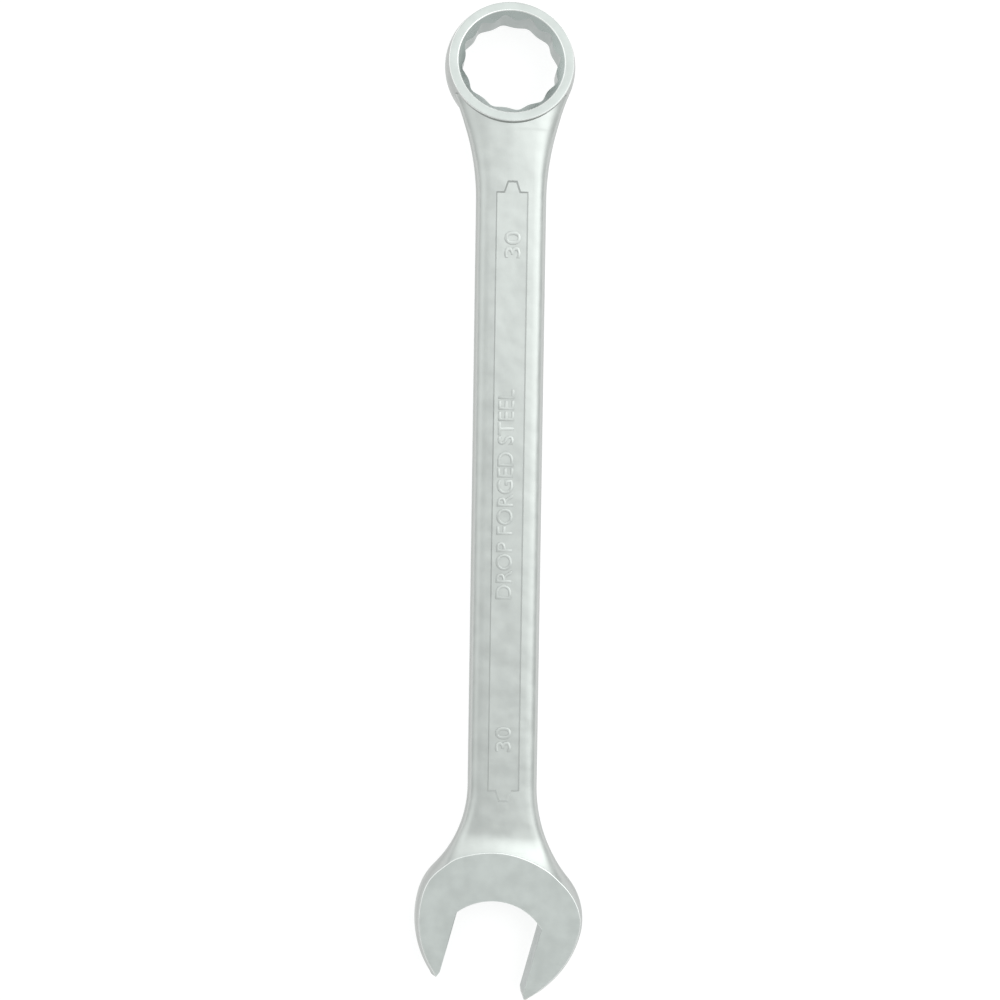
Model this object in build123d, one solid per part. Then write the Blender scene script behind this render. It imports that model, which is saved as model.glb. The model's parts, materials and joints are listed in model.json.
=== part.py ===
from build123d import *
import os
from math import atan2, cos, degrees, radians, sin, sqrt, tan

# Combination wrench for 30 mm hexagons: one drop forging with an open jaw at one
# end and a twelve-point ring at the other. Lengths are in millimetres, angles in
# degrees. The forging is drawn with its shank along Y and its parting plane at
# Z = 0, the ring at +Y and the jaw at -Y, and is laid down on a table at the end.

# What it fits
across_flats = 30.0       # the hexagon that both ends turn
jaw_clearance = 0.35      # the jaw's opening is this much wider
socket_clearance = 0.3    # and the ring's, across its flats

# Shank
shank_width = 24.2
shank_thickness = 9.6     # at the middle of the crown
crown_radius = 120.0      # how strongly the two broad faces are crowned
edge_radius = 2.0         # rounding along the forging's long edges
draft = 9.0               # slope of the forging's side walls

# Ring end
ring_x = -0.5             # the ring's centre, across the shank
ring_y = 149.35           # and along it
ring_tilt = 15.0          # the ring's axis leans this far, towards its far end
ring_wall = 5.0           # from the socket's points out to the wall's waist
ring_barrel = 0.9         # the wall's radius is this much less at its two faces
ring_thickness = 12.5
ring_flare_y = 103.0      # where the shank starts to widen towards the ring
ring_edge = 0.4           # small bevel round each face
ring_weld = 1.0           # how far the neck runs into the ring's wall
mouth_margin = 1.2        # the cone that leads a hexagon in starts this far outside
mouth_angle = 45.0
socket_turn = 7.0         # the first point stands this far from the shank's line
point_rounding = 1.1      # rounding of the twelve points and the ridges between

# Open end, measured from the centre of a hexagon held in the jaw
jaw_x = -3.75             # that centre, across the shank
jaw_y = -157.8            # and along it
jaw_angle = 15.0          # the jaw's line leans this far from the shank's
jaw_flare_y = -100.0      # where the shank starts to widen towards the jaw
head_thickness = 12.5
jaw_wall = 14.4           # steel beside the gap, at the widest place
head_widest = 13.0        # the widest place lies this far back
shoulder_radius = 22.0    # outline from the widest place to the neck
cheek_radius = 35.0       # outline from the widest place to the tips
tip_reach = 13.5          # the tips end this far forward
throat_radius = 20.7      # arc at the bottom of the jaw
throat_room = 0.6         # from a hexagon's corner back to the throat's bottom
throat_shift = 0.8        # the throat lies this far to the side of the jaw's line
lead_in_length = 3.2      # the gap widens over this length at the tips
lead_in_angle = 22.0
pad_spread = 11.425       # ground face's edge runs on an arc this much wider than the head
throat_wall = 16.2        # steel from the throat's bottom back to that edge
pad_slope = 40.0          # slope down from it to the shank
pad_root = 5.5            # fillet at the foot of that slope

# Sunk panel on both broad faces of the shank
panel_length = 206.8
panel_width = 10.2
panel_depth = 0.5         # below the top of the crown
panel_y = 2.4
tab_length = 3.6
tab_base = 5.0
tab_end = 2.5

# Where one region of the forging ends and the next starts
ring_cut_y = 113.0
jaw_cut_y = -110.0

half_shank = shank_width / 2
half_crown = shank_thickness / 2
half_head = head_thickness / 2
half_ring = ring_thickness / 2
half_gap = (across_flats + jaw_clearance) / 2
half_socket = (across_flats + socket_clearance) / 2
point_radius = half_socket / cos(radians(30))
ring_radius = point_radius + ring_wall
ring_face_radius = ring_radius - ring_barrel
mouth_radius = point_radius + mouth_margin
head_half_width = half_gap + jaw_wall
throat_back = across_flats / 2 / cos(radians(30)) + throat_room
pad_back = throat_back + throat_wall
pad_radius = head_half_width + pad_spread
beyond = 20.0             # how far cutting shapes run past what they cut


def ring_plane():
    """The ring's mid-height: its Z axis is the socket's axis."""
    drop = ring_face_radius * sin(radians(ring_tilt))
    return Plane((ring_x, ring_y, -drop)).rotated((-ring_tilt, 0, 0))


def jaw_plane():
    """At the centre of a hexagon in the jaw: its Y axis runs back to the throat."""
    return Plane((jaw_x, jaw_y, 0)).rotated((0, 0, -jaw_angle))


def arc(centre, radius, first, last):
    """The short arc about centre from direction first to direction last."""
    middle = (first + last).normalized()
    start, halfway, end = [centre + way * radius for way in (first, middle, last)]
    return ThreePointArc(start, halfway, end)


def flare(side, start_y, centre, radius):
    """The arc that leaves one side of the shank at start_y and runs tangent on to
    the circle of the end that it leads to, and the direction where they touch."""
    across = half_shank - side * centre.X
    along = centre.Y - start_y
    own = (along**2 + across**2 - radius**2) / (2 * (radius - across))
    own_centre = Vector(side * (half_shank + own), start_y)
    touch = (own_centre - centre).normalized()
    return arc(own_centre, own, Vector(-side, 0), -touch), touch


def head_side(side):
    """One side of the open end's outline, from the shank to the jaw's tip."""
    frame = jaw_plane()
    out = frame.x_dir * side
    shoulder = frame.from_local_coords(
        Vector(side * (head_half_width - shoulder_radius), head_widest))
    cheek = frame.from_local_coords(
        Vector(side * (head_half_width - cheek_radius), head_widest))
    neck, touch = flare(side, jaw_flare_y, shoulder, shoulder_radius)
    fall = (head_widest + tip_reach) / cheek_radius
    to_tip = out * sqrt(1 - fall**2) - frame.y_dir * fall
    return [neck, arc(shoulder, shoulder_radius, touch, out),
            arc(cheek, cheek_radius, out, to_tip)]


def outline():
    """The forging at its parting plane, without the ring and the jaw's gap."""
    centre = Vector(ring_x, ring_y)
    edges = []
    tips = []
    for side in (1, -1):
        neck, touch = flare(side, ring_flare_y, centre, ring_radius)
        head = head_side(side)
        edges += [neck, *head, Line(neck @ 0, head[0] @ 0), Line(centre, neck @ 1)]
        tips.append(head[-1] @ 1)
    edges.append(Line(*tips))
    return make_face(edges)


def broad_faces():
    """What bounds the forging above and below: the crowned slab of the shank and
    the two ground pads of the open end, with a fillet where they rise from it."""
    reach = head_half_width + 1
    rim = sqrt(crown_radius**2 - reach**2) - (crown_radius - half_crown)
    section = make_face([
        ThreePointArc((-reach, rim), (0, half_crown), (reach, rim)),
        Line((reach, rim), (reach, -rim)),
        ThreePointArc((reach, -rim), (0, -half_crown), (-reach, -rim)),
        Line((-reach, -rim), (-reach, rim))])
    length = ring_y - jaw_y + 2 * beyond
    slab = extrude(Plane.XZ.offset(-ring_y - beyond) * section, length)
    foot = pad_radius + half_head / tan(radians(pad_slope))
    cone = Cone(foot, pad_radius, half_head, align=(Align.CENTER, Align.CENTER, Align.MIN))
    cone += mirror(cone, Plane.XY)
    block = slab + jaw_plane() * Pos(0, pad_back - pad_radius, 0) * cone
    feet = block.edges().filter_by(GeomType.BSPLINE)
    return fillet(feet, pad_root)


def shank_and_head():
    """The forging without its ring and its jaw gap, its long edges rounded."""
    half = extrude(outline(), half_head, taper=draft)
    body = (half + mirror(half, Plane.XY)) & broad_faces()
    long_edges = [
        edge for edge in body.edges()
        if half_crown / 2 < abs((edge @ 0.5).Z) < half_crown
        and abs((edge @ 0.5).X) > half_shank - edge_radius
        and jaw_flare_y - shoulder_radius < (edge @ 0.5).Y < ring_y - ring_radius
        and edge.length > edge_radius * 4]
    return fillet(long_edges, edge_radius)


def jaw_gap():
    """The space between the jaw's two flats, out past the tips."""
    deep = throat_back - throat_radius
    throat = Vector(throat_shift, deep)
    sides = []
    for side in (-1, 1):
        over = side * half_gap - throat_shift
        sides.append(Vector(side * half_gap, deep + sqrt(throat_radius**2 - over**2)))
    lead_in = lead_in_length - tip_reach
    out = lead_in - beyond
    wide = half_gap + beyond * tan(radians(lead_in_angle))
    gap = make_face([
        ThreePointArc(sides[0], throat + Vector(0, throat_radius), sides[1]),
        Polyline(sides[1], (half_gap, lead_in), (wide, out), (-wide, out),
                 (-half_gap, lead_in), sides[0])])
    return extrude(jaw_plane() * gap, half_head + beyond, both=True)


def ring_wall():
    """The ring as a solid disc with a barrel-shaped outer wall."""
    rim = [(ring_face_radius - ring_edge, half_ring), (ring_face_radius, half_ring - ring_edge),
           (ring_radius, 0), (ring_face_radius, ring_edge - half_ring),
           (ring_face_radius - ring_edge, -half_ring)]
    profile = make_face([
        Line((0, half_ring), rim[0]), Line(rim[0], rim[1]), ThreePointArc(*rim[1:4]),
        Line(rim[3], rim[4]), Line(rim[4], (0, -half_ring)),
        Line((0, -half_ring), (0, half_ring))])
    return ring_plane() * revolve(Plane.XZ * profile, Axis.Z)


def socket():
    """The twelve-point hole with a lead-in cone at each face."""
    step = radians(30)
    ridge_radius = half_socket / cos(step / 2)
    corners = []
    for k in range(12):
        turn = k * step + radians(90 + socket_turn)
        corners.append((point_radius * cos(turn), point_radius * sin(turn)))
        corners.append((ridge_radius * cos(turn + step / 2), ridge_radius * sin(turn + step / 2)))
    star = make_face(Polyline(*corners, close=True))
    star = fillet(star.vertices(), point_rounding)
    hole = extrude(star, half_ring + 1, both=True)
    deep = mouth_radius / tan(radians(mouth_angle))
    mouth = Pos(0, 0, half_ring) * Cone(0, mouth_radius, deep, align=(
        Align.CENTER, Align.CENTER, Align.MAX))
    return ring_plane() * (hole + mouth + mirror(mouth, Plane.XY))


def panel_cut():
    """The sunk panel of the upper face, with a tab at each end."""
    half_length = panel_length / 2
    half_width = panel_width / 2
    turns = [(half_width, half_length), (tab_base / 2, half_length),
             (tab_end / 2, half_length + tab_length)]
    quarter = turns + [(-x, y) for x, y in reversed(turns)]
    shape = make_face(Polyline(*quarter, *[(-x, -y) for x, y in quarter], close=True))
    return extrude(Pos(0, panel_y, half_crown - panel_depth) * shape, beyond)


def forging():
    """The whole wrench, standing as it is drawn."""
    core = ring_plane() * Cylinder(ring_face_radius - ring_weld, 4 * ring_radius)
    pieces = (shank_and_head() - core).solids().sort_by(Axis.Y)
    body = pieces[0] + ring_wall()
    cut = panel_cut()
    return body - [socket(), jaw_gap(), cut, mirror(cut, Plane.XY)]


def table_place(shape):
    """Where the forging lies on a table: on the ring's far rim and the tips of the
    jaw, with the middle of its box over the origin and its lowest point at Z = 0."""
    rim = ring_plane().from_local_coords(Vector(0, ring_face_radius - ring_edge, -half_ring))
    tip = Vector(0, shape.bounding_box().min.Y, -half_head)
    lift = degrees(atan2(tip.Z - rim.Z, rim.Y - tip.Y))
    box = (Rot(lift, 0, 0) * shape).bounding_box()
    middle = box.center()
    return Pos(-middle.X, -middle.Y, -box.min.Z) * Rot(lift, 0, 0)


def regions(shape):
    """The forging parted into its three regions, which meet face to face."""
    above = split(shape, Plane.XZ.offset(-ring_cut_y), Keep.BOTTOM)
    rest = split(shape, Plane.XZ.offset(-ring_cut_y), Keep.TOP)
    middle = split(rest, Plane.XZ.offset(-jaw_cut_y), Keep.BOTTOM)
    below = split(rest, Plane.XZ.offset(-jaw_cut_y), Keep.TOP)
    return {"box_end": above, "shank": middle, "open_end": below}


def main():
    whole = forging()
    place = table_place(whole)
    os.makedirs("parts", exist_ok=True)
    for name, region in regions(whole).items():
        export_step(place * region, f"parts/{name}.step")


main()
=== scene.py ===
# %% [markdown]
# # A 30 mm combination wrench
# The real wrench is one steel forging. It has an open jaw at one end and a tilted
# twelve-point ring at the other, and satin chrome all over. The CAD model fixes its
# size and place, and this file makes the same forging again as a smooth mesh, in the
# order of the forge: a round billet is pressed to the die's shape, its faces are
# ground, and then the ring, the socket, the jaw and the sunk panels are made. The
# billet is modelled in millimetres, as it is drawn, and laid on the table at the end.

# %% Load the frame
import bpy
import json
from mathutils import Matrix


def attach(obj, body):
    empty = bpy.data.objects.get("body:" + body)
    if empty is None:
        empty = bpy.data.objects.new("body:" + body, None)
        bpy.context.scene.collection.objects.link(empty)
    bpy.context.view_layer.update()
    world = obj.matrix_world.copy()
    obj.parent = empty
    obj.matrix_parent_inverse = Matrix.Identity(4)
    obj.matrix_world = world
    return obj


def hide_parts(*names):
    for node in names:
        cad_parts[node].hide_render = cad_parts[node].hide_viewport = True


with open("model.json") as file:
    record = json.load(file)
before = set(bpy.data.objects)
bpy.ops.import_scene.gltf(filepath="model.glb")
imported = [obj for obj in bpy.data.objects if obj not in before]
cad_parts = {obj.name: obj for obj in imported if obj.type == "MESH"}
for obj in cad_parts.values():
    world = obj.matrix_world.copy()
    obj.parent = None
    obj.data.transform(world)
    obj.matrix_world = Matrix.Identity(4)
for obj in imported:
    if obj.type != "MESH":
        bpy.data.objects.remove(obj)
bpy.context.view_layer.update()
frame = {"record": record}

# %% Tools and units
import json
from math import atan2, cos, degrees, pi, radians, sin, sqrt, tan

import bmesh
import bpy
from mathutils import Matrix, Vector

MM = 0.001

# %% [markdown]
# ## Sizes
# These are the wrench's own driving sizes. They are the CAD model's, because the new
# mesh has to fill the same space, but for a shorter lead-in at the jaw's tips. What
# only the finer shape needs, such as the edges' rounding, is named where it is used.
# Angles are given in degrees and turned into radians where they are named.

# %% What the wrench fits
across_flats = 30.0
jaw_clearance = 0.35
socket_clearance = 0.3
half_gap = (across_flats + jaw_clearance) / 2
half_socket = (across_flats + socket_clearance) / 2
point_radius = half_socket / cos(pi / 6)

# %% Shank
half_width = 12.1
half_crown = 4.8
crown_radius = 120.0

# %% Ring end
ring_tilt = radians(15)
ring_wall = 5.0           # from the socket's points out to the wall's waist
ring_barrel = 0.9         # the wall's radius is this much less at its two faces
ring_radius = point_radius + ring_wall
ring_face_radius = ring_radius - ring_barrel
half_thick = 6.25         # of the ring, and of the head at the other end
ring_flare_y = 103.0
ring_centre = Vector((-0.5, 149.35, -ring_face_radius * sin(ring_tilt)))
mouth_margin = 1.2        # the lead-in cone's mouth is this much wider than the points
mouth_radius = point_radius + mouth_margin

# %% Open end
jaw_centre = Vector((-3.75, -157.8))
jaw_angle = radians(15)
jaw_flare_y = -100.0
jaw_wall = 14.4           # steel beside the gap, at the widest place
head_half_width = half_gap + jaw_wall
head_widest = 13.0        # this far back from the centre of the jaw
shoulder_radius = 22.0
cheek_radius = 35.0
tip_reach = 13.5
throat_radius = 20.7
throat_room = 0.6         # behind a hexagon's corner
throat_back = across_flats / 2 / cos(pi / 6) + throat_room
throat_shift = 0.8
lead_in_length = 2.0
lead_in_angle = radians(22)
pad_spread = 11.425       # the ground face's edge is an arc this much wider than the head
pad_radius = head_half_width + pad_spread
throat_wall = 16.2        # steel from the throat back to that edge
pad_back = throat_back + throat_wall

# %% Sunk panel
panel_y = 2.4
panel_half_length = 103.4
panel_half_width = 5.1
panel_depth = 0.5
tab_length = 3.6
tab_base = 2.5
tab_end = 1.25

# %% [markdown]
# ## The line where the dies meet
# Seen from above, the forging's outline is arcs that run on tangent to each other:
# the shank's straight side, a neck, a shoulder and a cheek. One way is to draw it as
# a curve and fill it. A pressed billet needs something else, the outline's place on
# each side for any place along the wrench, so it is written as a function.

# %% Places at the open end
def jaw_point(across, back):
    """A place given from the centre of a hexagon in the jaw, as a point of the wrench"""
    return jaw_centre + Matrix.Rotation(-jaw_angle, 2) @ Vector((across, back))


def neck_arc(side, start_y, centre, radius):
    """The arc from the shank's side to an end's circle: centre, radius, touching place"""
    across = half_width - side * centre.x
    along = centre.y - start_y
    own = (along**2 + across**2 - radius**2) / (2 * (radius - across))
    own_centre = Vector((side * (half_width + own), start_y))
    touch = centre + (own_centre - centre).normalized() * radius
    return own_centre, own, touch


SIDES = (1, -1)
shoulders = {s: jaw_point(s * (head_half_width - shoulder_radius), head_widest) for s in SIDES}
cheeks = {s: jaw_point(s * (head_half_width - cheek_radius), head_widest) for s in SIDES}
widest = {s: jaw_point(s * head_half_width, head_widest) for s in SIDES}
jaw_necks = {s: neck_arc(s, jaw_flare_y, shoulders[s], shoulder_radius) for s in SIDES}
ring_necks = {s: neck_arc(s, ring_flare_y, ring_centre.xy, ring_radius) for s in SIDES}
ring_touch_y = min(touch.y for centre, radius, touch in ring_necks.values())
print("the neck meets the ring at y =", round(ring_touch_y, 2))


# %% The outline as a function
def circle_x(side, centre, radius, y):
    """Where a circle crosses this place along the wrench, on its side towards side"""
    return centre.x + side * sqrt(max(radius**2 - (y - centre.y)**2, 0))


def outline_x(side, y):
    """How far out the parting line runs on one side, at y along the wrench"""
    if y > ring_flare_y:
        centre, radius, touch = ring_necks[side]
        return circle_x(-side, centre, radius, y)
    if y > jaw_flare_y:
        return side * half_width
    centre, radius, touch = jaw_necks[side]
    if y > touch.y:
        return circle_x(-side, centre, radius, y)
    if y > widest[side].y:
        return circle_x(side, shoulders[side], shoulder_radius, y)
    return circle_x(side, cheeks[side], cheek_radius, y)


print("width at the jaw's widest", round(outline_x(1, -150) - outline_x(-1, -150), 1), "mm")

# %% [markdown]
# ## The height of the broad faces
# Both broad faces are slightly crowned, so that the shank lies well in the hand. At
# the open end the steel rises in a soft cove to the thicker head. A smooth maximum
# of the crown and of a cone round the head's ground face gives that cove in one
# formula. The head is pressed too high here, because it is ground flat later.

# %% Crown, cove and head
cove_slope = tan(radians(33))   # the cove rises this fast to the ground face
cove_blend = 3.6          # and flows into the shank over about this height
cove_shift = 0.3          # the blend moves the cove's top out by this much
pressed_height = 8.2
pad_centre = jaw_point(0, pad_back - pad_radius)
neck_over_ring = 0.03     # the neck's top may rise this far over the ring's face
neck_blend = 0.6          # and bends over to that level within this height


def crown(x):
    """Height of the shank's crowned face"""
    return sqrt(crown_radius**2 - x**2) - (crown_radius - half_crown)


def soft_step(first, second, height):
    """How far a smooth maximum or minimum of two heights stands off the plain one"""
    return max(height - abs(first - second), 0)**2 / (4 * height)


def neck_top(low, y):
    """The height of the neck's top, which ends level with the ring's tilted face"""
    face = ring_centre.z + half_thick / cos(ring_tilt) - (y - ring_centre.y) * tan(ring_tilt)
    limit = face + neck_over_ring
    return min(low, limit) - soft_step(low, limit, neck_blend)


def face_height(x, y, up=1):
    """Height of the pressed forging's broad face above or below the parting plane"""
    low = crown(x)
    if up > 0 and y > ring_flare_y:
        return neck_top(low, y)
    outside = (Vector((x, y)) - pad_centre).length - pad_radius + cove_shift
    high = half_thick - outside * cove_slope
    return min(max(low, high) + soft_step(low, high, cove_blend), pressed_height)


print("height at the middle of the shank", face_height(0, 0))

# %% [markdown]
# ## The billet
# A forging's long edges are never sharp: the steel flows round them. So each half
# section is a broad face between two superellipse quarters. The billet is a cylinder
# with enough rings of vertices for that, close together where the shape changes
# fast, and the die moves every vertex to its place. A lofted surface or a subdivided
# cage could make this too, but then the outline would only come near the arcs.

# %% Rings along the billet
quarter_steps = 12
face_steps = 40
round_steps = 2 * (2 * quarter_steps + face_steps)
# Each span is where it starts, where it ends, and how far apart its rings are.
billet_spans = [(-177.0, -108.0, 0.6), (-108.0, -96.0, 1.2), (-96.0, 98.0, 6.0),
                (98.0, 110.0, 1.5), (110.0, ring_touch_y, 0.8)]


def stations():
    """Places along the wrench of the billet's rings of vertices"""
    places = [billet_spans[0][0]]
    for first, last, step in billet_spans:
        count = round((last - first) / step)
        places += [first + (last - first) * (k + 1) / count for k in range(count)]
    return places


rings = stations()
print(len(rings), "rings of", round_steps, "vertices")

# %% How round the long edges are
edge_power = 2 / 2.5
shank_run = 4.3           # the rounding reaches this far in from the shank's side
neck_run = 6.6            # and this far beside the ring
head_run = 5.0            # and round the head
neck_run_length = ring_touch_y - ring_flare_y - 8
head_run_starts = jaw_flare_y - 16
head_run_length = 30.0
most_widening = 1.5       # an outline that leans over widens the rounding at most this much
section_share = 0.46      # and it never takes more of the section's width than this
weld_draw = 0.35          # the neck's sides draw in this much where they meet the ring
weld_length = 12.0        # over this length


def ease(value):
    """0 to 1 with a soft start and end"""
    value = min(max(value, 0), 1)
    return value * value * (3 - 2 * value)


def edge_run(side, y):
    """How far in from the parting line the rounded edge reaches"""
    run = shank_run
    run += (neck_run - shank_run) * ease((y - ring_flare_y) / neck_run_length)
    run += (head_run - shank_run) * ease((head_run_starts - y) / head_run_length)
    small = 0.05
    lean = (outline_x(side, y + small) - outline_x(side, y - small)) / (2 * small)
    return run * min(sqrt(1 + lean**2), most_widening)


# %% The die
def quarter(side, y, up):
    """One rounded long edge, from the parting line in to the broad face"""
    drawn_in = weld_draw * ease((y - ring_touch_y + weld_length) / weld_length)
    edge = outline_x(side, y) - side * drawn_in
    run = min(edge_run(side, y), section_share * (outline_x(1, y) - outline_x(-1, y)))
    places = []
    for k in range(quarter_steps + 1):
        turn = k / quarter_steps * pi / 2
        x = edge - side * run * (1 - max(cos(turn), 0)**edge_power)
        places.append((x, up * face_height(x, y, up) * sin(turn)**edge_power))
    return places


def half_section(y, up):
    """One half of a section, from the right parting line over to the left one"""
    right, left = quarter(1, y, up), quarter(-1, y, up)
    first, last = right[-1][0], left[-1][0]
    across = [first + (last - first) * k / face_steps for k in range(1, face_steps)]
    return right + [(x, up * face_height(x, y, up)) for x in across] + left[::-1]


def full_section(y):
    """The vertices' places all round one section, from the right parting line up"""
    return half_section(y, 1) + half_section(y, -1)[-2:0:-1]


def press_billet():
    """A cylinder with a ring of vertices at each station, moved to the die's shape"""
    steel = bmesh.new()
    bmesh.ops.create_cone(steel, cap_ends=True, segments=round_steps, radius1=1, radius2=1,
                          depth=1, matrix=Matrix.Rotation(-pi / 2, 4, "X"))
    long_edges = [edge for edge in steel.edges
                  if abs(edge.verts[0].co.y - edge.verts[1].co.y) > 0.5]
    bmesh.ops.subdivide_edges(steel, edges=long_edges, cuts=len(rings) - 2)
    sections = [full_section(y) for y in rings]
    for vertex in steel.verts:
        place = round((vertex.co.y + 0.5) * (len(rings) - 1))
        turn = atan2(vertex.co.z, vertex.co.x) / (2 * pi) * round_steps
        x, z = sections[place][round(turn) % round_steps]
        vertex.co = (x, rings[place], z)
    bmesh.ops.recalc_face_normals(steel, faces=steel.faces)
    return steel


billet = press_billet()
print("billet", len(billet.verts), "vertices, volume", round(billet.calc_volume() / 1000, 1), "cm3")

# %% [markdown]
# ## Grinding
# The head's two faces and the jaw's tips are ground flat after forging, and that
# leaves a crisp edge. `bisect_plane` does what the grinder does: it cuts the steel
# along a plane and takes the outer part away. The hole is then filled, and a few
# insets with a small step up each make the thin rounded rim that catches the light.

# %% Cut with a plane and fill
def grind(steel, place, outwards, rim):
    """Grinds away what lies outside a plane, and rounds the rim of the new face"""
    drop = sum(step for width, step in rim)
    everything = steel.verts[:] + steel.edges[:] + steel.faces[:]
    cut = bmesh.ops.bisect_plane(steel, geom=everything, dist=1e-4,
                                 plane_co=place - outwards * drop, plane_no=outwards,
                                 clear_outer=True)
    rim_edges = [item for item in cut["geom_cut"] if isinstance(item, bmesh.types.BMEdge)]
    rim_vertices = list({vertex for edge in rim_edges for vertex in edge.verts})
    bmesh.ops.remove_doubles(steel, verts=rim_vertices, dist=0.06)
    rim_edges = [edge for edge in steel.edges if edge.is_boundary]
    face = bmesh.ops.contextual_create(steel, geom=rim_edges)["faces"]
    for width, step in rim:
        bmesh.ops.inset_region(steel, faces=face, thickness=width, depth=step,
                               use_even_offset=True, use_boundary=True)


pad_rim = ((0.1, 0.08), (0.16, 0.05))       # each step's width and height
tip_rim = ((0.12, 0.3), (0.2, 0.18), (0.3, 0.09))
past_the_tips = Vector((-sin(jaw_angle), -cos(jaw_angle), 0))
grind(billet, jaw_point(0, -tip_reach).to_3d(), past_the_tips, tip_rim)
for up in (1, -1):
    grind(billet, Vector((0, 0, up * half_thick)), Vector((0, 0, up)), pad_rim)
print("ground billet", len(billet.faces), "faces, open edges",
      sum(edge.is_boundary for edge in billet.edges))


# %% A mesh becomes an object
def as_object(steel, name):
    """An object in the scene from a bmesh"""
    mesh = bpy.data.meshes.new(name)
    steel.to_mesh(mesh)
    steel.free()
    piece = bpy.data.objects.new(name, mesh)
    bpy.context.scene.collection.objects.link(piece)
    return piece


forging = as_object(billet, "wrench_forging")


# %% Cut and weld
def combine(piece, tool, operation):
    """Cuts a tool's shape from the piece or welds it on, and removes the tool"""
    step = piece.modifiers.new("step", "BOOLEAN")
    step.object = tool
    step.operation = operation
    step.solver = "EXACT"
    bpy.context.view_layer.update()
    graph = bpy.context.evaluated_depsgraph_get()
    result = bpy.data.meshes.new_from_object(piece.evaluated_get(graph))
    piece.modifiers.clear()
    piece.data = result
    bpy.data.objects.remove(tool)
    print(operation, "leaves", len(result.polygons), "faces")


# %% [markdown]
# ## The ring
# The ring is turned about its own axis, so its profile is drawn once and spun. Its
# wall is slightly barrelled, as a forged ring's is, and its faces have a fine bevel.
# The neck is first cut back by a plain cylinder, so that nothing of it is left
# inside the ring, and then the ring is welded on.

# %% The ring's place
ring_place = Matrix.Translation(ring_centre) @ Matrix.Rotation(-ring_tilt, 4, "X")
ring_edge = 0.45
wall_steps = 10
turn_steps = 160


def barrel_radius(height):
    """The ring wall's radius at a height from its middle: an arc through three places"""
    bulge = ring_radius - ring_face_radius
    reach = half_thick - ring_edge
    arc_radius = (reach**2 + bulge**2) / (2 * bulge)
    return ring_radius - arc_radius + sqrt(arc_radius**2 - height**2)


# %% Spin the ring
def turned_ring():
    """The ring as a solid disc, from a profile spun once round"""
    steel = bmesh.new()
    reach = half_thick - ring_edge
    profile = [(0, half_thick)]
    for k in range(5):
        turn = k / 4 * pi / 2
        profile.append((barrel_radius(reach) - ring_edge * (1 - sin(turn)),
                        reach + ring_edge * cos(turn)))
    for k in range(1, wall_steps):
        height = reach * (1 - 2 * k / wall_steps)
        profile.append((barrel_radius(height), height))
    profile += [(r, -z) for r, z in reversed(profile[:6])]
    corners = [steel.verts.new((r, 0, z)) for r, z in profile]
    line = [steel.edges.new(pair) for pair in zip(corners, corners[1:])]
    bmesh.ops.spin(steel, geom=corners + line, cent=(0, 0, 0), axis=(0, 0, 1),
                   angle=2 * pi, steps=turn_steps, use_merge=True)
    bmesh.ops.remove_doubles(steel, verts=steel.verts, dist=1e-4)
    bmesh.ops.recalc_face_normals(steel, faces=steel.faces)
    bmesh.ops.transform(steel, matrix=ring_place, verts=steel.verts)
    return steel


# %% Cut the neck back and weld the ring on
def neck_core():
    """A cylinder in the ring's place that clears the neck from its inside"""
    steel = bmesh.new()
    bmesh.ops.create_cone(steel, cap_ends=True, segments=turn_steps, depth=80,
                          radius1=ring_face_radius - 1, radius2=ring_face_radius - 1,
                          matrix=ring_place)
    return steel


combine(forging, as_object(neck_core(), "core"), "DIFFERENCE")
combine(forging, as_object(turned_ring(), "ring"), "UNION")

# %% [markdown]
# ## Tools that cut
# The socket, the jaw's gap and the panels are all straight-walled holes with a small
# slope at their mouths, where a real edge is broken. So one helper raises a flat
# outline into a tool, and another opens the tool out beyond a level.

# %% Raise a flat outline
def raise_outline(steel, bottom, top):
    """Fills a closed flat outline and raises it into a solid between two heights"""
    face = bmesh.ops.contextual_create(steel, geom=steel.edges[:])["faces"] or steel.faces[:]
    bmesh.ops.translate(steel, verts=steel.verts, vec=(0, 0, bottom))
    raised = bmesh.ops.extrude_face_region(steel, geom=face)["geom"]
    bmesh.ops.translate(steel, vec=(0, 0, top - bottom),
                        verts=[item for item in raised if isinstance(item, bmesh.types.BMVert)])
    bmesh.ops.recalc_face_normals(steel, faces=steel.faces)


# %% Open a tool's mouth
def open_mouth(steel, level, slope):
    """Leans a tool's walls outwards above a level, at both ends if they reach it"""
    for up in (1, -1):
        bmesh.ops.bisect_plane(steel, geom=steel.verts[:] + steel.edges[:] + steel.faces[:],
                               dist=1e-4, plane_co=(0, 0, up * level), plane_no=(0, 0, 1))
    moves = {}
    for vertex in steel.verts:
        beyond = abs(vertex.co.z) - level
        if beyond > 0.01:
            walls = [face.normal.xy for face in vertex.link_faces if abs(face.normal.z) < 0.5]
            middle = sum(walls, Vector((0, 0))).normalized()
            moves[vertex] = middle / max(middle.dot(walls[0]), 0.3) * beyond * slope
    for vertex, move in moves.items():
        vertex.co.xy += move


# %% [markdown]
# ## The socket
# A twelve-point socket is two hexagons, one turned by 30 degrees. Its outline is a
# circle of 24 vertices that lie in turn on a point and on a ridge, and a bevel on
# the vertices rounds them, because a broach leaves no sharp corner. A cone at each
# face leads the hexagon in.

# %% The twelve points
socket_turn = radians(7)
point_rounding = 1.25


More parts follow.
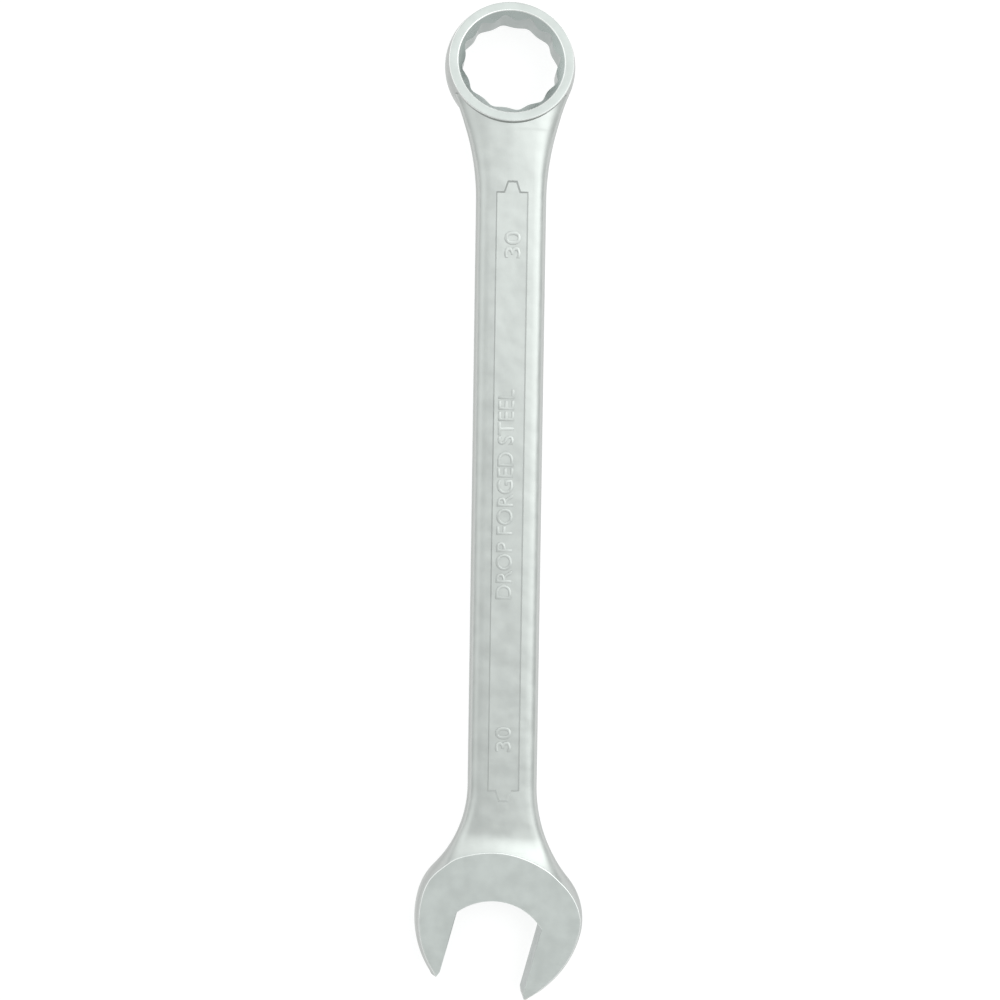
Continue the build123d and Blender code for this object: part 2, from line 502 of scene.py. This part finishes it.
def socket_tool():
    """The twelve-point hole"""
    steel = bmesh.new()
    step = pi / 6
    bmesh.ops.create_circle(steel, segments=24, radius=1)
    for vertex in steel.verts:
        turn = atan2(vertex.co.y, vertex.co.x)
        place = round(turn / (step / 2))
        far = half_socket / (cos(step) if place % 2 == 0 else cos(step / 2))
        turn = place * step / 2 + pi / 2 + socket_turn
        vertex.co = (far * cos(turn), far * sin(turn), 0)
    bmesh.ops.bevel(steel, geom=steel.verts[:], affect="VERTICES", offset=point_rounding,
                    segments=5, profile=0.5, material=-1)
    raise_outline(steel, -half_thick - 1, half_thick + 1)
    bmesh.ops.transform(steel, matrix=ring_place, verts=steel.verts)
    return steel


# %% The lead-in cones
def mouth_tool(up):
    """The 45 degree cone at one face of the ring, with a finer break at its rim"""
    steel = bmesh.new()
    above = 1.0
    # The rim's break in two short steps, and then the cone down inside the socket.
    corners = [(mouth_radius + 2.4 * above, half_thick + above),
               (mouth_radius - 0.24, half_thick - 0.1), (mouth_radius - 0.42, half_thick - 0.22),
               (mouth_radius - 5, half_thick - 4.8), (0, half_thick - 4.8)]
    corners = [steel.verts.new((0, 0, half_thick + above))] + [
        steel.verts.new((r, 0, z)) for r, z in corners]
    line = [steel.edges.new(pair) for pair in zip(corners, corners[1:])]
    bmesh.ops.spin(steel, geom=corners + line, cent=(0, 0, 0), axis=(0, 0, 1),
                   angle=2 * pi, steps=turn_steps, use_merge=True)
    bmesh.ops.remove_doubles(steel, verts=steel.verts, dist=1e-4)
    if up < 0:
        bmesh.ops.rotate(steel, verts=steel.verts, matrix=Matrix.Rotation(pi, 3, "X"))
    bmesh.ops.recalc_face_normals(steel, faces=steel.faces)
    bmesh.ops.transform(steel, matrix=ring_place, verts=steel.verts)
    return steel


combine(forging, as_object(socket_tool(), "socket"), "DIFFERENCE")
for up in (1, -1):
    combine(forging, as_object(mouth_tool(up), "mouth"), "DIFFERENCE")

# %% [markdown]
# ## The jaw
# The gap between the jaw's flats is milled. Its bottom is an arc, and near the tips
# the flats open out a little to lead a nut in. The arc comes from spinning one
# vertex, and the rest of the outline is four more vertices.

# %% The gap's outline
gap_break = 0.22


def jaw_tool():
    """The jaw's gap, out past the tips"""
    steel = bmesh.new()
    deep = throat_back - throat_radius
    starts = []
    for side in SIDES:
        over = side * half_gap - throat_shift
        starts.append(Vector((side * half_gap, deep + sqrt(throat_radius**2 - over**2), 0)))
    centre = Vector((throat_shift, deep, 0))
    sweep = (starts[0] - centre).angle(starts[1] - centre)
    first = steel.verts.new(starts[0])
    bmesh.ops.spin(steel, geom=[first], cent=centre, axis=(0, 0, 1), angle=sweep, steps=30)
    lead_in = lead_in_length - tip_reach
    reach = 20.0
    wide = half_gap + reach * tan(lead_in_angle)
    ends = sorted(steel.verts, key=lambda vertex: vertex.co.x)
    places = [(-half_gap, lead_in), (-wide, lead_in - reach), (wide, lead_in - reach),
              (half_gap, lead_in)]
    chain = [ends[0]] + [steel.verts.new((x, y, 0)) for x, y in places] + [ends[-1]]
    for pair in zip(chain, chain[1:]):
        steel.edges.new(pair)
    raise_outline(steel, -half_thick - 1, half_thick + 1)
    open_mouth(steel, half_thick - gap_break, 1.0)
    turn = Matrix.Rotation(-jaw_angle, 4, "Z")
    bmesh.ops.transform(steel, verts=steel.verts,
                        matrix=Matrix.Translation(jaw_centre.to_3d()) @ turn)
    return steel


combine(forging, as_object(jaw_tool(), "gap"), "DIFFERENCE")

# %% [markdown]
# ## The sunk panels
# Each broad face of the shank has a long shallow panel with a small tab at each end,
# pressed in by the die. Its walls lean, because steel has to come out of the die.

# %% The panel's outline
def panel_tool(up):
    """The sunk panel of one broad face"""
    steel = bmesh.new()
    turns = [(panel_half_width, panel_half_length), (tab_base, panel_half_length),
             (tab_end, panel_half_length + tab_length)]
    one_end = turns + [(-x, y) for x, y in reversed(turns)]
    corners = [steel.verts.new((x, y, 0)) for x, y in one_end + [(-x, -y) for x, y in one_end]]
    for pair in zip(corners, corners[1:] + corners[:1]):
        steel.edges.new(pair)
    bmesh.ops.translate(steel, verts=steel.verts, vec=(0, panel_y, 0))
    floor_level = half_crown - panel_depth
    raise_outline(steel, floor_level, floor_level + 2)
    open_mouth(steel, floor_level, 1.3)
    if up < 0:
        bmesh.ops.rotate(steel, verts=steel.verts, matrix=Matrix.Rotation(pi, 3, "Y"))
    return steel


for up in (1, -1):
    combine(forging, as_object(panel_tool(up), "panel"), "DIFFERENCE")

# %% [markdown]
# ## Laying the wrench on the table
# The forging is still in millimetres and level, as it is drawn. The CAD model lies on
# a table, on the ring's far rim and the jaw's tips. The ring's mount in the record
# gives its centre and its axis there, so the angle and the place both come from it.

# %% From the drawing to the table
ring_mount = next(m for m in frame["record"]["mounts"] if m["name"] == "ring_socket")
ring_axis = Vector(ring_mount["axis"])
lift = ring_tilt - atan2(ring_axis.y, ring_axis.z)
to_table = (Matrix.Translation(ring_mount["pos_m"]) @ Matrix.Rotation(lift, 4, "X")
            @ Matrix.Diagonal((MM, MM, MM, 1)) @ Matrix.Translation(-ring_centre))
print("lifted by", round(degrees(lift), 3), "degrees")

# %% [markdown]
# ## Finishes by place
# The forged skin, the ground faces, the cones, and the broached and milled walls have
# different finishes. The broached and milled walls are given a darker colour as painted
# shade, and the thin rims of the ground faces a brighter one as a painted highlight.
# After all the cutting it is simplest to ask each face where it lies and which way it
# looks, and to give it its material from that.

# %% Which finish a face has
# The fourth finish, for the walls inside the socket and the jaw's gap, is darker as painted shade.
FORGED, GROUND, CUT, MILLED_PAINTED_SHADE, PAINTED_RIM_HIGHLIGHT = range(5)
head_end_y = -115.0       # the ground and milled faces of the head all lie past this place
# The head's thin rims down to this depth get the brighter colour of a painted highlight.
pad_rim_depth = sum(height for width, height in pad_rim) + 0.01
ring_rim_depth = 0.26     # the ring's rims with the painted highlight reach this far down


def finish_of_head(centre, normal):
    """The finish of one of the head's faces"""
    depth = half_thick - abs(centre.z)
    local = Matrix.Rotation(jaw_angle, 2) @ (centre.xy - jaw_centre)
    in_gap = abs(local.x) < half_gap + 0.8 and local.y < throat_back + 0.4
    # The thin rims of the head's ground faces get the brighter colour of a painted highlight.
    if 0.004 < depth < pad_rim_depth and abs(normal.z) > 0.3 and not in_gap:
        return PAINTED_RIM_HIGHLIGHT
    if abs(normal.z) > 0.6 and depth < 0.25:
        return GROUND
    # The gap's walls get the darker colour of painted shade.
    if abs(normal.z) < 0.2 and abs(local.x) < half_gap + 0.1 and local.y < throat_back + 0.1:
        return MILLED_PAINTED_SHADE
    return FORGED


def finish_of(face):
    """The finish of one face, from its place in the drawing"""
    centre, normal = face.center, face.normal
    if centre.y < head_end_y:
        return finish_of_head(centre, normal)
    local = ring_place.inverted() @ centre
    direction = ring_place.to_3x3().inverted() @ normal
    reach, depth = local.xy.length, half_thick - abs(local.z)
    if reach > ring_radius + 0.2:
        return FORGED
    if abs(direction.z) > 0.97 and depth < 0.2:
        return GROUND
    # The thin rims of the ring's faces get the brighter colour of a painted highlight.
    if depth < ring_rim_depth and reach > mouth_radius - 0.5:
        return PAINTED_RIM_HIGHLIGHT if abs(direction.z) > 0.25 else FORGED
    # Inside the mouth the cones get the cut finish, and the socket's walls the darker colour of
    # painted shade.
    if reach < mouth_radius + 0.2:
        return CUT if abs(direction.z) > 0.3 else MILLED_PAINTED_SHADE
    return FORGED


counts = [0] * 5
for face in forging.data.polygons:
    face.material_index = finish_of(face)
    counts[face.material_index] += 1
print("forged, ground, cut, milled and edge faces", counts)

# %% Clean the mesh and lay it down
def lay_down(piece, sharp):
    """Puts a piece on the table, with soft faces that meet sharply past an angle"""
    steel = bmesh.new()
    steel.from_mesh(piece.data)
    bmesh.ops.remove_doubles(steel, verts=steel.verts, dist=0.004)
    bmesh.ops.dissolve_degenerate(steel, edges=steel.edges, dist=0.004)
    bmesh.ops.transform(steel, matrix=to_table, verts=steel.verts)
    bmesh.ops.recalc_face_normals(steel, faces=steel.faces)
    open_edges = sum(not edge.is_manifold for edge in steel.edges)
    volume = steel.calc_volume() * 1e6
    steel.to_mesh(piece.data)
    steel.free()
    piece.data.shade_smooth()
    piece.data.set_sharp_from_angle(angle=sharp)
    print(piece.name, "has", open_edges, "open edges and holds", round(volume, 2), "cm3")


lay_down(forging, radians(28))
weighted = forging.modifiers.new("even_normals", "WEIGHTED_NORMAL")
weighted.keep_sharp = True
weighted.weight = 60

# %% [markdown]
# ## Raised marks
# The die leaves raised letters on the floor of each panel: the size number near each
# end, and what the wrench is made of between them. Blender's own text gives clean
# strokes. It becomes a mesh first, and is then stretched to the height and length
# that it has on the steel, turned to read along the shank, and laid down.

# %% Marks on one side
mark_height = 0.34        # above the panel's floor
mark_root = 0.12          # how far the letters run into the steel
mark_rounding = 0.09      # of the strokes' upper and lower edges
stroke_swell = 0.04       # how much wider a stroke is on each side than the font's own
marks = [("30", (0.4, 88.2), (5.6, 9.2)), ("30", (-0.3, -83.2), (5.6, 8.8)),
         ("DROP FORGED STEEL", (-0.95, 2.2), (5.6, 72.7))]


def mark_mesh(words, middle, size):
    """One word or number as a bmesh on the upper panel's floor"""
    curve = bpy.data.curves.new("mark", "FONT")
    curve.body = words
    curve.size = 8.0
    curve.offset = stroke_swell
    curve.extrude = (mark_height + mark_root) / 2 - mark_rounding
    curve.bevel_depth = mark_rounding
    curve.bevel_resolution = 2
    curve.resolution_u = 6
    lettering = bpy.data.objects.new("mark", curve)
    steel = bmesh.new()
    steel.from_mesh(bpy.data.meshes.new_from_object(lettering))
    bpy.data.objects.remove(lettering)
    bmesh.ops.remove_doubles(steel, verts=steel.verts, dist=1e-4)
    bmesh.ops.recalc_face_normals(steel, faces=steel.faces)
    places = [vertex.co for vertex in steel.verts]
    low = Vector(min(place[k] for place in places) for k in range(3))
    high = Vector(max(place[k] for place in places) for k in range(3))
    level = half_crown - panel_depth + (mark_height - mark_root) / 2
    stretch = Matrix.Diagonal((size[1] / (high.x - low.x), size[0] / (high.y - low.y), 1, 1))
    bmesh.ops.transform(steel, verts=steel.verts, matrix=(
        Matrix.Translation((*middle, level)) @ Matrix.Rotation(pi / 2, 4, "Z") @ stretch
        @ Matrix.Translation(-(low + high) / 2)))
    return steel


def raised_marks(up, name):
    """All the marks of one side as one piece"""
    joined = bmesh.new()
    for mark in marks:
        steel = mark_mesh(*mark)
        mesh = bpy.data.meshes.new("mark")
        steel.to_mesh(mesh)
        steel.free()
        joined.from_mesh(mesh)
    if up < 0:
        bmesh.ops.rotate(joined, verts=joined.verts, matrix=Matrix.Rotation(pi, 3, "Y"))
    return as_object(joined, name)


mark_pieces = [raised_marks(1, "upper_marks"), raised_marks(-1, "lower_marks")]
for piece in mark_pieces:
    lay_down(piece, radians(40))

# %% [markdown]
# ## Satin chrome
# The plate is bright but not a mirror: a fine blasted grain under it spreads the
# reflections, and long use leaves faint scuffs. One material could serve all over,
# but one function with its own numbers for each finish makes the forged skin gently
# wavy and darker on its faces that look sideways, as painted shade, gives the ground
# faces a grinder's lines, and makes the cones smoother, the milled walls darker as
# painted shade and the ground faces' rims brighter as a painted highlight.

# %% Nodes for one finish
def finish_nodes(name):
    """A new material, its nodes and links, and its shader"""
    material = bpy.data.materials.new(name)
    material.use_nodes = True
    nodes, links = material.node_tree.nodes, material.node_tree.links
    return material, nodes, links, nodes["Principled BSDF"]


def noise(nodes, links, place, scale, detail, stretch=1.0, turn=0.0):
    """A noise on the piece's own coordinates, longer than wide where stretch is over 1"""
    mapping = nodes.new("ShaderNodeMapping")
    mapping.inputs["Rotation"].default_value = (0, 0, turn)
    mapping.inputs["Scale"].default_value = (1 / stretch, 1, 1)
    links.new(place.outputs["Object"], mapping.inputs["Vector"])
    texture = nodes.new("ShaderNodeTexNoise")
    texture.inputs["Scale"].default_value = scale
    texture.inputs["Detail"].default_value = detail
    links.new(mapping.outputs["Vector"], texture.inputs["Vector"])
    return texture.outputs["Fac"]


def remap(nodes, links, value, low, high, first, last):
    """A value's range moved and clamped to another range"""
    change = nodes.new("ShaderNodeMapRange")
    for socket, number in zip(("From Min", "From Max", "To Min", "To Max"),
                              (low, high, first, last)):
        change.inputs[socket].default_value = number
    links.new(value, change.inputs["Value"])
    return change.outputs["Result"]


def bump(nodes, links, height, depth, strength, under=None):
    """A bump of a depth in metres, on top of another one"""
    relief = nodes.new("ShaderNodeBump")
    relief.inputs["Strength"].default_value = strength
    relief.inputs["Distance"].default_value = depth
    links.new(height, relief.inputs["Height"])
    if under:
        links.new(under, relief.inputs["Normal"])
    return relief.outputs["Normal"]


# %% One chrome finish
def satin_chrome(name, colour, side_shade_share, roughness, waves, lines, line_turn):
    """A chrome finish: its colour, its share left as painted shade on sideways faces, how rough
    it is, how deep its gentle waves are, how long its grinding lines are and their turn"""
    material, nodes, links, shader = finish_nodes(name)
    shader.inputs["Metallic"].default_value = 1.0
    place = nodes.new("ShaderNodeTexCoord")
    mottle = noise(nodes, links, place, 190, 7)
    streaks = noise(nodes, links, place, 420, 4, 26, line_turn + 0.5)
    scratch = remap(nodes, links, streaks, 0.66, 0.72, 0, 1)
    base_rough = remap(nodes, links, mottle, 0.35, 0.65, roughness - 0.035, roughness + 0.035)
    rough = nodes.new("ShaderNodeMath")
    rough.operation = "MULTIPLY_ADD"
    rough.inputs[1].default_value = 0.08
    links.new(scratch, rough.inputs[0])
    links.new(base_rough, rough.inputs[2])
    links.new(rough.outputs["Value"], shader.inputs["Roughness"])
    tint = nodes.new("ShaderNodeMix")
    tint.data_type = "RGBA"
    tint.inputs["A"].default_value = (*[value * 0.95 for value in colour], 1)
    tint.inputs["B"].default_value = (*[value * 1.02 for value in colour], 1)
    links.new(remap(nodes, links, mottle, 0.35, 0.65, 0, 1), tint.inputs["Factor"])
    # Faces that look sideways are mixed towards a darker colour, as painted shade.
    facing = nodes.new("ShaderNodeSeparateXYZ")
    links.new(place.outputs["Normal"], facing.inputs["Vector"])
    level = nodes.new("ShaderNodeMath")
    level.operation = "ABSOLUTE"
    links.new(facing.outputs["Z"], level.inputs[0])
    painted_side_shade = nodes.new("ShaderNodeMix")
    painted_side_shade.data_type = "RGBA"
    painted_side_shade.inputs["A"].default_value = (*[value * side_shade_share for value in colour], 1)
    links.new(remap(nodes, links, level.outputs["Value"], 0.3, 0.92, 0, 1),
              painted_side_shade.inputs["Factor"])
    links.new(tint.outputs["Result"], painted_side_shade.inputs["B"])
    links.new(painted_side_shade.outputs["Result"], shader.inputs["Base Color"])
    gentle = bump(nodes, links, noise(nodes, links, place, 75, 2), waves, 0.5)
    grain = bump(nodes, links, noise(nodes, links, place, 1600, 3, lines, line_turn),
                 0.00005, 0.16, gentle)
    marked = bump(nodes, links, scratch, 0.00003, 0.12, grain)
    links.new(marked, shader.inputs["Normal"])
    return material


finishes = [
    # The forged skin, and the marks that share it, is darker on its faces that look sideways, as
    # painted shade.
    satin_chrome("satin_chrome_forged_side_shade", (0.68, 0.70, 0.685), 0.64, 0.33, 0.0006, 1, 0),
    satin_chrome("satin_chrome_ground", (0.69, 0.72, 0.705), 1.0, 0.34, 0.00003, 16, jaw_angle),
    satin_chrome("satin_chrome_cut", (0.60, 0.65, 0.635), 1.0, 0.28, 0.00004, 4, pi / 2),
    # The milled walls' darker colour is painted shade.
    satin_chrome("satin_chrome_milled_painted_shade", (0.39, 0.42, 0.41), 1.0, 0.34, 0.00003, 12, 0),
    # The rims' bright colour is a painted highlight.
    satin_chrome("painted_rim_highlight", (0.95, 0.96, 0.95), 1.0, 0.22, 0.00001, 1, 0)]
for material in finishes:
    forging.data.materials.append(material)
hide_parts("box_end", "shank", "open_end")
for piece in mark_pieces:
    piece.data.materials.append(finishes[FORGED])
for piece in [forging, *mark_pieces]:
    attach(piece, "root")

# %% [markdown]
# ## Stage, light and camera
# A white table in an evenly lit room, with wide soft glows above it and to both
# sides. A satin metal shows the room and not the lamp, so the room does all the
# work: the crowned faces run from grey to white across the shank only if one side of
# the room is lighter than the other. Lamps would do it too, but a lamp draws a hard
# white streak along every rounded edge.

# %% Floor
def pale_floor():
    """A large white table top that gives off light itself, so its shadows stay faint"""
    steel = bmesh.new()
    bmesh.ops.create_grid(steel, x_segments=1, y_segments=1, size=3.0)
    floor = as_object(steel, "table_top")
    material, nodes, links, shader = finish_nodes("white_table")
    shader.inputs["Base Color"].default_value = (0.3, 0.3, 0.3, 1)
    shader.inputs["Roughness"].default_value = 0.9
    shader.inputs["Emission Color"].default_value = (1, 1, 1, 1)
    shader.inputs["Emission Strength"].default_value = 0.8
    floor.data.materials.append(material)


pale_floor()

# %% Room
def room(level, glows):
    """Even light all round, with soft glows: each is where, how wide and how much more"""
    world = bpy.data.worlds.new("room")
    world.use_nodes = True
    nodes, links = world.node_tree.nodes, world.node_tree.links
    background = nodes["Background"]
    background.inputs["Color"].default_value = (0.965, 1.0, 0.985, 1)
    direction = nodes.new("ShaderNodeTexCoord").outputs["Generated"]
    total = None
    for place, width, amount in glows:
        towards = nodes.new("ShaderNodeVectorMath")
        towards.operation = "DOT_PRODUCT"
        towards.inputs[1].default_value = Vector(place).normalized()
        links.new(direction, towards.inputs[0])
        glow = nodes.new("ShaderNodeMapRange")
        glow.interpolation_type = "SMOOTHSTEP"
        glow.inputs["From Min"].default_value = cos(radians(width))
        glow.inputs["From Max"].default_value = 1.0
        glow.inputs["To Max"].default_value = amount
        links.new(towards.outputs["Value"], glow.inputs["Value"])
        add = nodes.new("ShaderNodeMath")
        add.inputs[1].default_value = level
        links.new(glow.outputs["Result"], add.inputs[0])
        if total:
            links.new(total, add.inputs[1])
        total = add.outputs["Value"]
    links.new(total, background.inputs["Strength"])
    bpy.context.scene.world = world


room(0.64, [((0.40, 0.50, 1.0), 50, 0.30), ((0.58, 0.26, 1.0), 34, 0.85),
            ((1.0, 0.3, 0.5), 40, 0.10), ((-0.75, 0.42, 0.75), 46, 0.45)])

# %% Camera
camera_distance = 0.900
camera_roll = radians(5.0)
camera_pitch = radians(4.2) - lift
camera_twist = radians(0.71)
aim_side = 0.00225


def add_camera():
    """A camera almost straight above, leaning a little to the left and to the jaw"""
    data = bpy.data.cameras.new("camera")
    data.lens = 93.3
    data.sensor_width = 36.0
    data.clip_start = 0.01
    camera = bpy.data.objects.new("camera", data)
    bpy.context.scene.collection.objects.link(camera)
    turn = (Matrix.Rotation(-camera_twist, 4, "Z") @ Matrix.Rotation(camera_pitch, 4, "X")
            @ Matrix.Rotation(camera_roll, 4, "Y"))
    middle = to_table @ Vector((0, 0, 0))
    view = (Matrix.Translation((aim_side, 0, -camera_distance)) @ turn
            @ Matrix.Translation(-middle))
    camera.matrix_world = view.inverted()
    bpy.context.scene.camera = camera
    return camera


add_camera()
bpy.context.scene.view_settings.view_transform = "Standard"
